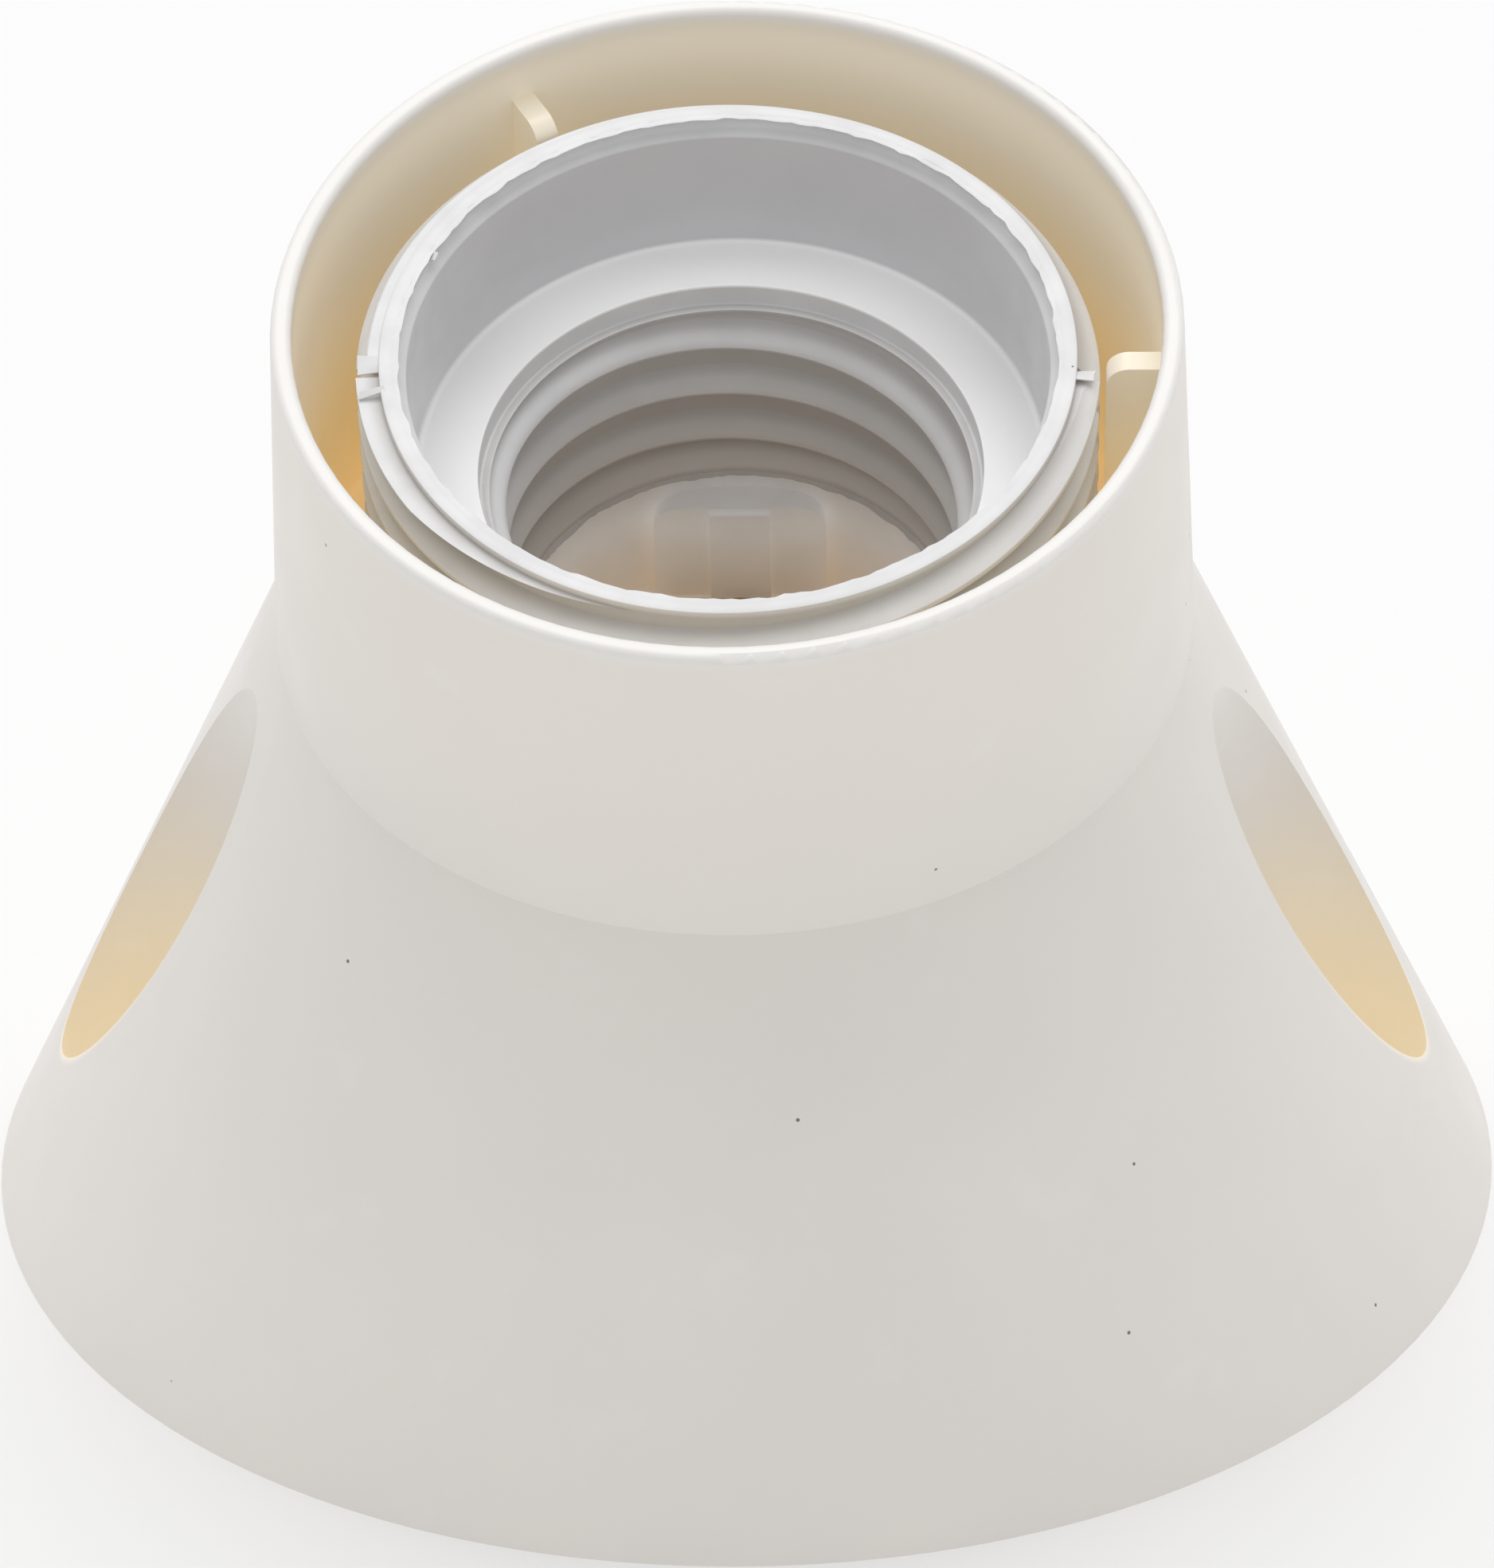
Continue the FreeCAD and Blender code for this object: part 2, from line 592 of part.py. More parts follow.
def make_side_contact():
    """Stands up from the chamber's floor beside the lamp's shell and leans in against it."""
    wall = "-@chamber_radius + fit_gap + leaf_thickness"
    floor = "-chamber_depth"
    make_leaf("side_contact", [
        ("-@terminal_offset + rivet_head_radius + side_leaf_tail", floor),
        ("-@terminal_offset + rivet_head_radius + side_leaf_tail", floor + " + leaf_thickness"),
        (wall + " + leaf_thickness", floor + " + leaf_thickness"),
        (wall + " + leaf_thickness", floor + " + side_leaf_height/2"),
        (wall + " + side_leaf_spring + leaf_thickness", floor + " + side_leaf_height"),
        (wall + " + side_leaf_spring", floor + " + side_leaf_height"),
        (wall, floor + " + side_leaf_height/2"),
        (wall, floor),
    ], "side_leaf_width", "-@terminal_offset")


def make_terminal(label, back):
    """Brass pillar block: two cross holes for wires, two tapped holes, and the rivet's hole."""
    body = make_body(label)
    plan = make_sketch(body, label + "_plan", "XY_Plane", height="-@terminal_under")
    x, y = "terminal_width/2", "terminal_depth/2"
    outline(plan, [("-" + x, "%s - %s" % (back, y)), (x, "%s - %s" % (back, y)),
                   (x, "%s + %s" % (back, y)), ("-" + x, "%s + %s" % (back, y))])
    padded(body, label + "_block", plan, "terminal_height")
    wires = make_sketch(body, label + "_wire_holes", "XZ_Plane")
    height = "-@terminal_under + terminal_height/2"
    circles(wires, [(s + "terminal_screw_spacing/2", height) for s in ("", "-")], "wire_hole_radius")
    pocketed(body, label + "_bores", wires, "2*@terminal_offset + 2*terminal_depth", midplane=True)
    taps = make_sketch(body, label + "_tap_circles", "XY_Plane", height="-@terminal_under")
    circles(taps, [(s + "terminal_screw_spacing/2", back) for s in ("", "-")],
            "terminal_screw_radius + thread_gap")
    pocketed(body, label + "_taps", taps, "terminal_height/2", up=True)
    rivet = make_sketch(body, label + "_rivet_circle", "XY_Plane", height="-@terminal_under")
    circles(rivet, [("0", back)], "rivet_radius + thread_gap")
    pocketed(body, label + "_rivet_hole", rivet, "terminal_height", up=True)
    on_socket(body)
    keep(body, label)


def make_screw(label, across, back, head_depth, reach, radius, head_radius, head_height):
    """Cheese-head screw, head down: origin under the head, shank up along the socket's axis."""
    body = make_body(label)
    turned(body, label + "_turning", [
        ("0", reach), ("0", "-" + head_height), (head_radius + " - head_bevel", "-" + head_height),
        (head_radius, "-%s + head_bevel" % head_height), (head_radius, "0"), (radius, "0"),
        (radius, "%s - %s/2" % (reach, radius)), (radius + "/2", reach),
    ])
    slot = make_sketch(body, label + "_slot_plan", "XY_Plane", height="-" + head_height)
    x = head_radius + " + %g" % OVERLAP
    outline(slot, [("-(%s)" % x, "-slot_width/2"), (x, "-slot_width/2"), (x, "slot_width/2"),
                   ("-(%s)" % x, "slot_width/2")])
    pocketed(body, label + "_slot", slot, head_height + "/2", up=True)
    on_socket(body, across, back, head_depth)
    keep(body, label)


def make_rivet(label, back):
    """Holds a leaf to the carrier's floor and the terminal block below it."""
    body = make_body(label)
    leaf_top = "-chamber_depth + leaf_thickness"
    turned(body, label + "_turning", [
        ("0", leaf_top + " + rivet_head_height"), ("0", "-@terminal_under - rivet_head_height"),
        ("rivet_head_radius - rivet_bevel", "-@terminal_under - rivet_head_height"),
        ("rivet_head_radius", "-@terminal_under - rivet_head_height + rivet_bevel"),
        ("rivet_head_radius", "-@terminal_under"), ("rivet_radius", "-@terminal_under"),
        ("rivet_radius", leaf_top), ("rivet_head_radius", leaf_top),
        ("rivet_head_radius", leaf_top + " + rivet_head_height - rivet_bevel"),
        ("rivet_head_radius - rivet_bevel", leaf_top + " + rivet_head_height"),
    ])
    on_socket(body, back=back)
    keep(body, label)


def make_fasteners():
    for name, back in (("live", "@terminal_offset"), ("neutral", "-@terminal_offset")):
        make_rivet(name + "_rivet", back)
        for side, sign in (("left", "-"), ("right", "")):
            make_screw("%s_screw_%s" % (name, side), sign + "terminal_screw_spacing/2", back,
                       "@terminal_under + screw_gap", "(terminal_height/2 - wire_hole_radius + screw_gap)",
                       "terminal_screw_radius", "terminal_head_radius", "terminal_head_height")
    for side, sign in (("left", "-"), ("right", "")):
        make_screw("sleeve_screw_" + side, sign + "@screw_offset", "0", "@flange_under",
                   "(@flange_under - @screw_top)", "sleeve_screw_radius", "sleeve_head_radius",
                   "sleeve_head_height")


def check_and_write():
    doc.recompute()
    for thing in doc.Objects:
        if "Invalid" in thing.State or "Error" in thing.State:
            raise RuntimeError("%s failed to compute: %s" % (thing.Label, thing.State))
    os.makedirs("parts", exist_ok=True)
    for thing in sub_parts:
        shape = thing.Shape
        if shape.isNull() or not shape.isValid() or not shape.Solids:
            raise RuntimeError(thing.Label + " has no valid solid")
    for thing in sub_parts:
        thing.Shape.exportStep(os.path.join("parts", thing.Label + ".step"))
        print("%-20s %d solid %9.1f mm3" % (thing.Label, len(thing.Shape.Solids), thing.Shape.Volume))


fill_sheet()
make_housing()
make_lamp_sleeve()
make_contact_carrier()
make_centre_contact()
make_side_contact()
make_terminal("live_terminal", "@terminal_offset")
make_terminal("neutral_terminal", "-@terminal_offset")
make_fasteners()
check_and_write()
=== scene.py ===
import json
from math import cos, pi, radians, sin
import bpy
import bmesh
from mathutils import Matrix, Vector, noise


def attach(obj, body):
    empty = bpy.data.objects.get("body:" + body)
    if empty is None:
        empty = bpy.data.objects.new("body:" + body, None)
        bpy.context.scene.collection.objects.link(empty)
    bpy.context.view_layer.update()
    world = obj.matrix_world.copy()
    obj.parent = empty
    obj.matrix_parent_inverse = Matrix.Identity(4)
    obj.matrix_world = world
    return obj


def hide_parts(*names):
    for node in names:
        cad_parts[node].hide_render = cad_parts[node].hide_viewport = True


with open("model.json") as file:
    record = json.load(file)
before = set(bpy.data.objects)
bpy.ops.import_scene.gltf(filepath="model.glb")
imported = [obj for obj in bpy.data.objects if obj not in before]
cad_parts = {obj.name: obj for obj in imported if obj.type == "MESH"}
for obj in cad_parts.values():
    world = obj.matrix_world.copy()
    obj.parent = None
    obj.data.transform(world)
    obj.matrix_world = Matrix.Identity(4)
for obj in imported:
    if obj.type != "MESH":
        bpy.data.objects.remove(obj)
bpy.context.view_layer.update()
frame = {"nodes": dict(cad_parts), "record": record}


# ---- Housing -------------------------------------------------------------------
# The one-piece moulding: cone foot, two leaning wells for the wall screws, slanted collar.
# Satin cream thermoplastic, thin enough to pass light; the amber glow deep inside the collar and the wells
# is painted in, as colour and emission.
# It is the CAD solid as it stands; only its finish is made here.
MM = 0.001
mounts = {mount["name"]: mount for mount in frame["record"]["mounts"]}
lamp_mount = mounts["lamp_thread"]
socket_axis = Vector(lamp_mount["axis"])
LAMP_MOUNT_DEPTH = 19.0
rim_centre = Vector(lamp_mount["pos_m"]) + socket_axis * LAMP_MOUNT_DEPTH * MM
tilt = Vector((0, 0, 1)).angle(socket_axis)
well_offset = mounts["wall_screws"]["dims"]["spacing_x_mm"] / 2

CREAM_LOW = (0.815, 0.780, 0.735, 1)
CREAM_CLOUD = (0.785, 0.752, 0.715, 1)
CREAM_PAINTED_TOP_LIGHT = (0.865, 0.815, 0.750, 1)
CREAM_INSIDE_PAINTED_GLOW = (0.84, 0.77, 0.64, 1)
PAINTED_AMBER_GLOW = (0.80, 0.64, 0.40, 1)
RIM_PAINTED_HIGHLIGHT = (0.86, 0.84, 0.815, 1)
SCUFF = (0.90, 0.89, 0.87, 1)
GLOW_PALE = (1.0, 0.90, 0.68, 1)
GLOW_AMBER = (1.0, 0.70, 0.30, 1)
WELL_GLOW = 0.19
SPECK_BROWN = (0.22, 0.15, 0.09, 1)
NOISE_MIDDLE = (0.3, 0.7)
COLLAR_MID_WALL = 23.6
WELL_EDGE = 6.7
# Stretches in mm over which a tone comes in: below the rim, or above the wall for the wells.
TOP_LIGHT_BAND = (30.0, 4.0)
RIM_HIGHLIGHT_BAND = (1.2, 0.0)
AMBER_GLOW_BAND = (6.0, 22.0)
WELL_BAND = (27.0, 5.0)
GLOW_START_BAND = (0.2, 2.0)
GLOW_BAND = (0.2, 14.0)
GLOW_TINT_BAND = (3.0, 16.0)
COLLAR_GLOW = (0.08, 0.25)
# Grain in mm and detail of the clouds and scuffs; spacing, size and share of the specks.
CREAM_CLOUDS = (14.0, 4)
CREAM_SCUFFS = (5.0, 6)
CREAM_SPECKS = (3.5, 0.13, 0.22)
CREAM_PATCHES = (6.0, 4)
CREAM_ROUGH = (0.30, 0.40)
CREAM_SKIN = ((0.5, 2, 0.006), (9.0, 2, 0.05))


class Finish:
    """A surface finish: the shader, the nodes that feed it and the object's own coordinates."""

    def __init__(self, name, roughness=0.4, metallic=0.0):
        self.material = bpy.data.materials.new(name)
        self.material.use_nodes = True
        self.material.cycles.emission_sampling = "NONE"
        self.tree = self.material.node_tree
        self.shader = self.tree.nodes["Principled BSDF"]
        self.shader.inputs["Roughness"].default_value = roughness
        self.shader.inputs["Metallic"].default_value = metallic
        self.place = self.node("ShaderNodeTexCoord").outputs["Object"]

    def node(self, kind, **settings):
        node = self.tree.nodes.new(kind)
        for name, value in settings.items():
            setattr(node, name, value)
        return node

    def feed(self, socket, value):
        if isinstance(value, bpy.types.NodeSocket):
            self.tree.links.new(value, socket)
        else:
            socket.default_value = value

    def math(self, operation, first, second=0.0):
        node = self.node("ShaderNodeMath", operation=operation)
        self.feed(node.inputs[0], first)
        self.feed(node.inputs[1], second)
        return node.outputs[0]

    def noise(self, grain_mm, detail=3.0, place=None):
        node = self.node("ShaderNodeTexNoise")
        self.feed(node.inputs["Vector"], place or self.place)
        node.inputs["Scale"].default_value = 1 / (grain_mm * MM)
        node.inputs["Detail"].default_value = detail
        return node.outputs["Fac"]

    def rise(self, value, low, high, least=0.0, most=1.0):
        """Smoothly from least to most while the value goes from low to high."""
        node = self.node("ShaderNodeMapRange", interpolation_type="SMOOTHSTEP")
        self.feed(node.inputs["Value"], value)
        for name, number in (("From Min", low), ("From Max", high), ("To Min", least), ("To Max", most)):
            node.inputs[name].default_value = number
        return node.outputs["Result"]

    def band(self, length, low_mm, high_mm, least=0.0, most=1.0):
        """The same rise over a stretch given in mm."""
        return self.rise(length, low_mm * MM, high_mm * MM, least, most)

    def blend(self, share, first, second):
        node = self.node("ShaderNodeMix", data_type="RGBA", blend_type="MIX")
        self.feed(node.inputs["Factor"], share)
        self.feed(node.inputs["A"], first)
        self.feed(node.inputs["B"], second)
        return node.outputs["Result"]

    def specks(self, spacing_mm, size_mm, share):
        """Sparse dots: the middles of a few cells out of many."""
        cells = self.node("ShaderNodeTexVoronoi")
        self.feed(cells.inputs["Vector"], self.place)
        cells.inputs["Scale"].default_value = 1 / (spacing_mm * MM)
        dot = self.rise(cells.outputs["Distance"], size_mm / spacing_mm, 0.6 * size_mm / spacing_mm)
        lucky = self.node("ShaderNodeSeparateColor")
        self.feed(lucky.inputs["Color"], cells.outputs["Color"])
        return self.math("MULTIPLY", dot, self.math("LESS_THAN", lucky.outputs[0], share))

    def skin(self, *layers, place=None):
        """Bumps laid one over the other, each of (grain in mm, detail, depth in mm)."""
        normal = None
        for grain_mm, detail, depth_mm in layers:
            bump = self.node("ShaderNodeBump")
            bump.inputs["Distance"].default_value = depth_mm * MM
            self.feed(bump.inputs["Height"], self.noise(grain_mm, detail, place))
            if normal:
                self.feed(bump.inputs["Normal"], normal)
            normal = bump.outputs["Normal"]
        self.feed(self.shader.inputs["Normal"], normal)

    def in_socket(self):
        """Coordinates square to the socket, in metres, with the rim's centre at zero."""
        turn = self.node("ShaderNodeMapping", vector_type="TEXTURE")
        self.feed(turn.inputs["Vector"], self.place)
        turn.inputs["Location"].default_value = rim_centre
        turn.inputs["Rotation"].default_value = (tilt, 0, 0)
        return turn.outputs["Vector"]

    def split(self, vector):
        node = self.node("ShaderNodeSeparateXYZ")
        self.feed(node.inputs[0], vector)
        return node.outputs

    def reach(self, across, back):
        """Distance of a point from an axis, given its two offsets."""
        squares = [self.math("MULTIPLY", offset, offset) for offset in (across, back)]
        return self.math("SQRT", self.math("ADD", *squares))


def cream_housing():
    finish = Finish("housing_cream")
    across, back, up = finish.split(finish.in_socket())
    depth = finish.math("MULTIPLY", up, -1.0)
    radius = finish.reach(across, back)
    inside = finish.band(radius, COLLAR_MID_WALL + 0.3, COLLAR_MID_WALL - 0.3)
    # The wells lean as the socket does, so the distance from a well's axis is taken square to it.
    well_back = sin(tilt) * rim_centre.z + cos(tilt) * rim_centre.y
    from_well = finish.reach(
        finish.math("SUBTRACT", finish.math("ABSOLUTE", across), well_offset * MM),
        finish.math("ADD", back, well_back))
    in_well = finish.band(from_well, WELL_EDGE, WELL_EDGE - 0.4)
    height = finish.split(finish.place)[2]

    cloud = finish.rise(finish.noise(*CREAM_CLOUDS), *NOISE_MIDDLE, 0, 0.6)
    cream = finish.blend(cloud, CREAM_LOW, CREAM_CLOUD)
    # Painted light: the cream is lighter and warmer towards the rim.
    cream = finish.blend(finish.band(depth, *TOP_LIGHT_BAND, 0, 0.7), cream, CREAM_PAINTED_TOP_LIGHT)
    # Painted glow: inside the collar the cream turns warm, and amber deep down; low in the wells it turns
    # warm too.
    deep = finish.blend(finish.band(depth, *AMBER_GLOW_BAND), CREAM_INSIDE_PAINTED_GLOW, PAINTED_AMBER_GLOW)
    colour = finish.blend(inside, cream, deep)
    low_in_well = finish.math("MULTIPLY", in_well, finish.band(height, *WELL_BAND))
    colour = finish.blend(low_in_well, colour, CREAM_INSIDE_PAINTED_GLOW)
    # Painted highlight along the rim.
    colour = finish.blend(finish.band(depth, *RIM_HIGHLIGHT_BAND), colour, RIM_PAINTED_HIGHLIGHT)
    colour = finish.blend(finish.specks(*CREAM_SPECKS), colour, SPECK_BROWN)
    scuffs = finish.rise(finish.noise(*CREAM_SCUFFS), 0.60, 0.72, 0, 0.12)
    colour = finish.blend(scuffs, colour, SCUFF)
    finish.feed(finish.shader.inputs["Base Color"], colour)

    rough = finish.rise(finish.noise(*CREAM_PATCHES), *NOISE_MIDDLE, *CREAM_ROUGH)
    finish.feed(finish.shader.inputs["Roughness"], rough)
    # Painted glow for the light that soaks through the thin wall, stronger and more amber the deeper it is
    # seen.
    in_collar = finish.math("MULTIPLY", inside, finish.band(depth, *GLOW_BAND, *COLLAR_GLOW))
    in_collar = finish.math("MULTIPLY", in_collar, finish.band(depth, *GLOW_START_BAND))
    glow = finish.math("ADD", in_collar, finish.math("MULTIPLY", low_in_well, WELL_GLOW))
    tint = finish.blend(finish.band(depth, *GLOW_TINT_BAND), GLOW_PALE, GLOW_AMBER)
    tint = finish.blend(in_well, tint, GLOW_PALE)
    finish.feed(finish.shader.inputs["Emission Color"], tint)
    finish.feed(finish.shader.inputs["Emission Strength"], glow)
    finish.skin(*CREAM_SKIN)
    return finish.material


def dress(node, material):
    """Give a CAD node its finish and smooth shading, and leave its mesh as it is."""
    mesh = frame["nodes"][node].data
    mesh.materials.clear()
    mesh.materials.append(material)
    for polygon in mesh.polygons:
        polygon.use_smooth = True


dress("housing", cream_housing())


# ---- Socket sleeve -------------------------------------------------------------
# The white insert that takes the lamp and the shade ring, moulded in one shot.
# The outside thread comes from two mould halves, so it steps at the parting lines,
# and thin torn flash is left round the inner edge and on the parting lines.
SLEEVE_TOP = 2.7
CORE_RADIUS = 18.55
RING_INNER = 17.75
RECESS_FLOOR = 11.7
RECESS_RADIUS = 17.1
RECESS_ROUND = 0.45
RING_LEDGE = 1.05
RING_SLOPE = 0.6
MOUTH_RADIUS = 13.6
MOUTH_DEPTH = 1.35
MOUTH_STEP = 0.6
BORE_RADIUS = 13.3
THREAD_DEPTH = 1.1
TUBE_RADIUS = 14.7
TUBE_END = 25.5
TUBE_LIP = 0.7
FLOOR_UNDER = 13.7
FOOT_TOP = 17.0
FOOT_UNDER = 22.0
FOOT_RADIUS = 19.8
FOOT_WALL = 1.0
EDGE_ROUND = 0.10
SHARP_ANGLE = 38
STEPS = 240
FADE_STEPS = 2
SLEEVE_WHITE = (0.77, 0.77, 0.78, 1)
SLEEVE_CLOUD = (0.72, 0.72, 0.73, 1)
RECESS_PAINTED_SHADE = (0.62, 0.62, 0.635, 1)
SLEEVE_FLOOR_PAINTED_LIGHT = (0.90, 0.90, 0.905, 1)
SLEEVE_WARM_PAINTED_SHADE = (0.60, 0.56, 0.51, 1)
SLEEVE_DUST_AND_SHADE = (0.42, 0.40, 0.38, 1)
# Stretches in mm, below the rim, out from the socket's axis, or towards the back of the socket.
WARM_SHADE_BAND = (11.0, 24.0)
SHADE_BAND = (-4.0, 16.0)
SOAK_BAND = (6.0, 15.0)
SOAK_GLOW = 0.14
OUTER_GROOVE, OUTER_CORE = (19.5, 18.6), (18.3, 18.5)
INNER_GROOVE, INNER_WALL = (12.7, 13.25), (13.5, 13.4)
SLEEVE_CLOUDS = (4.0, 4)
SLEEVE_PATCHES = (2.0, 4)
SLEEVE_SPECKS = (2.6, 0.10, 0.10)
SLEEVE_ROUGH = (0.30, 0.46)
SLEEVE_SKIN = ((0.35, 2, 0.006), (2.2, 3, 0.03))
EMBED = 0.25
socket_place = Matrix.Translation(rim_centre) @ Matrix.Rotation(tilt, 4, "X") @ Matrix.Scale(MM, 4)


def section(bm, corners, angle=0.0):
    """One upright outline of (radius, depth) corners, as a closed ring of edges at an angle."""
    turn = Matrix.Rotation(radians(angle), 3, "Z")
    verts = [bm.verts.new(turn @ Vector((radius, 0, -depth))) for radius, depth in corners]
    return [bm.edges.new((verts[i - 1], verts[i])) for i in range(len(verts))]


def round_off(bm, width, angle=25):
    """Bevel the edges whose faces meet at more than an angle."""
    sharp = [e for e in bm.edges if len(e.link_faces) == 2 and e.calc_face_angle() > radians(angle)]
    bmesh.ops.bevel(bm, geom=sharp, affect="EDGES", offset=width, segments=2, profile=0.5, material=-1)


def revolve(bm, corners):
    """A closed ring-shaped solid from its section."""
    bmesh.ops.spin(bm, geom=section(bm, corners), cent=(0, 0, 0), axis=(0, 0, 1),
                   angle=2 * pi, steps=STEPS, use_merge=True)


def sweep_on(bm, geometry, sweep, climb, steps):
    """Carry an end face on round the axis, climbing by so much a turn, and give the new end."""
    return bmesh.ops.spin(bm, geom=geometry, cent=(0, 0, 0), axis=(0, 0, 1), angle=radians(sweep),
                          dvec=(0, 0, climb * sweep / 360 / steps), steps=steps)["geom_last"]


def coil(bm, corners, start, sweep, climb, fade=0.0, into=0.0):
    """A solid ridge swept round the axis; its ends can fade over some degrees into the wall."""
    edges = section(bm, corners, start + fade)
    end = bmesh.ops.contextual_create(bm, geom=edges)["faces"] + edges
    if fade:
        other = bmesh.ops.duplicate(bm, geom=end)["geom"]
        other = [part for part in other if not isinstance(part, bmesh.types.BMVert)]
        sink(sweep_on(bm, other, -fade, climb, FADE_STEPS), into)
    end = sweep_on(bm, end, sweep - 2 * fade, climb, max(2, round((sweep - 2 * fade) * STEPS / 360)))
    if fade:
        sink(sweep_on(bm, end, fade, climb, FADE_STEPS), into)


def sink(end, into):
    """Push the end of a ridge out into the wall round it, so that the ridge fades away."""
    for vert in [g for g in end if isinstance(g, bmesh.types.BMVert)]:
        vert.co.xy *= 1 + into / vert.co.xy.length


def trim_above(bm, depth):
    """Cut away what stands above a depth, and close the cut."""
    geometry = bm.verts[:] + bm.edges[:] + bm.faces[:]
    cut = bmesh.ops.bisect_plane(bm, geom=geometry, plane_co=(0, 0, -depth), plane_no=(0, 0, 1),
                                 clear_outer=True)["geom_cut"]
    loose = [e for e in cut if isinstance(e, bmesh.types.BMEdge) and len(e.link_faces) == 1]
    bmesh.ops.holes_fill(bm, edges=loose, sides=0)


def settle(bm, name, material):
    """Finish a mesh drawn square to the socket, and put it in place, riding on the root."""
    bmesh.ops.remove_doubles(bm, verts=bm.verts, dist=0.001)
    bmesh.ops.recalc_face_normals(bm, faces=bm.faces)
    bm.transform(socket_place)
    mesh = bpy.data.meshes.new(name)
    bm.to_mesh(mesh)
    bm.free()
    mesh.materials.append(material)
    for polygon in mesh.polygons:
        polygon.use_smooth = True
    mesh.set_sharp_from_angle(angle=radians(SHARP_ANGLE))
    piece = bpy.data.objects.new(name, mesh)
    bpy.context.scene.collection.objects.link(piece)
    even = piece.modifiers.new("even_shading", "WEIGHTED_NORMAL")
    even.keep_sharp = True
    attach(piece, "root")
    return piece


def white_sleeve():
    finish = Finish("sleeve_white")
    across, back, up = finish.split(finish.in_socket())
    depth = finish.math("MULTIPLY", up, -1.0)
    cloud = finish.rise(finish.noise(*SLEEVE_CLOUDS), *NOISE_MIDDLE)
    white = finish.blend(cloud, SLEEVE_WHITE, SLEEVE_CLOUD)
    radius = finish.reach(across, back)
    # Painted shade on the recess wall, stronger towards the back of the socket.
    recess = finish.band(radius, RING_INNER - 0.1, RING_INNER - 0.3)
    recess = finish.math("MULTIPLY", recess, finish.band(radius, RECESS_RADIUS - 0.9, RECESS_RADIUS - 0.1))
    recess = finish.math("MULTIPLY", recess, finish.band(back, *SHADE_BAND, 0.12, 0.62))
    white = finish.blend(recess, white, RECESS_PAINTED_SHADE)
    # Painted light: the recess floor is made lighter than the wall round it.
    on_floor = finish.band(depth, RECESS_FLOOR - 0.25, RECESS_FLOOR - 0.05)
    on_floor = finish.math("MULTIPLY", on_floor, finish.band(depth, RECESS_FLOOR + 0.2, RECESS_FLOOR + 0.1))
    white = finish.blend(on_floor, white, SLEEVE_FLOOR_PAINTED_LIGHT)
    # Painted glow on the far side of the recess floor, for the light it passes on from behind it.
    soak = finish.math("MULTIPLY", on_floor, finish.band(back, *SOAK_BAND, 0.0, SOAK_GLOW))
    finish.feed(finish.shader.inputs["Emission Color"], SLEEVE_WHITE)
    finish.feed(finish.shader.inputs["Emission Strength"], soak)
    # Painted shade, warm-tinted, deeper inside the sleeve.
    colour = finish.blend(finish.band(depth, *WARM_SHADE_BAND, 0, 0.85), white, SLEEVE_WARM_PAINTED_SHADE)
    # Fine dust and painted shade darken the grooves of both threads.
    outer = finish.band(radius, *OUTER_GROOVE, 0, 0.6)
    outer = finish.math("MULTIPLY", outer, finish.band(radius, *OUTER_CORE))
    inner = finish.band(radius, *INNER_GROOVE, 0, 0.5)
    inner = finish.math("MULTIPLY", inner, finish.band(radius, *INNER_WALL))
    below_top = finish.band(depth, SLEEVE_TOP + 0.1, SLEEVE_TOP + 0.5)
    dust_and_shade = finish.math("MULTIPLY", finish.math("ADD", outer, inner), below_top)
    colour = finish.blend(dust_and_shade, colour, SLEEVE_DUST_AND_SHADE)
    colour = finish.blend(finish.specks(*SLEEVE_SPECKS), colour, SPECK_BROWN)
    finish.feed(finish.shader.inputs["Base Color"], colour)
    rough = finish.rise(finish.noise(*SLEEVE_PATCHES), *NOISE_MIDDLE, *SLEEVE_ROUGH)
    finish.feed(finish.shader.inputs["Roughness"], rough)
    finish.skin(*SLEEVE_SKIN)
    return finish.material


sleeve_finish = white_sleeve()


def arc(centre, radius, start, end, steps=5):
    """Points of a round corner in a section, as (radius, depth)."""
    turns = [radians(start + (end - start) * i / steps) for i in range(steps + 1)]
    return [(centre[0] + radius * cos(a), centre[1] + radius * sin(a)) for a in turns]


bm = bmesh.new()
revolve(bm, [
    (RING_INNER, SLEEVE_TOP), (CORE_RADIUS, SLEEVE_TOP), (CORE_RADIUS, FOOT_TOP),
    (FOOT_RADIUS, FOOT_TOP), (FOOT_RADIUS, FOOT_UNDER), (CORE_RADIUS - FOOT_WALL, FOOT_UNDER),
    (CORE_RADIUS - FOOT_WALL, FLOOR_UNDER), (TUBE_RADIUS, FLOOR_UNDER), (TUBE_RADIUS, TUBE_END),
    (BORE_RADIUS - THREAD_DEPTH, TUBE_END), (BORE_RADIUS - THREAD_DEPTH, TUBE_END - TUBE_LIP),
    (BORE_RADIUS, TUBE_END - TUBE_LIP - THREAD_DEPTH),
    (BORE_RADIUS, RECESS_FLOOR + MOUTH_DEPTH + MOUTH_STEP),
    (MOUTH_RADIUS - MOUTH_STEP, RECESS_FLOOR + MOUTH_DEPTH),
    (MOUTH_RADIUS, RECESS_FLOOR + MOUTH_DEPTH), (MOUTH_RADIUS, RECESS_FLOOR),
    *arc((RECESS_RADIUS - RECESS_ROUND, RECESS_FLOOR - RECESS_ROUND), RECESS_ROUND, 90, 0),
    (RECESS_RADIUS, SLEEVE_TOP + RING_LEDGE), (RING_INNER, SLEEVE_TOP + RING_SLOPE),
])
round_off(bm, EDGE_ROUND)
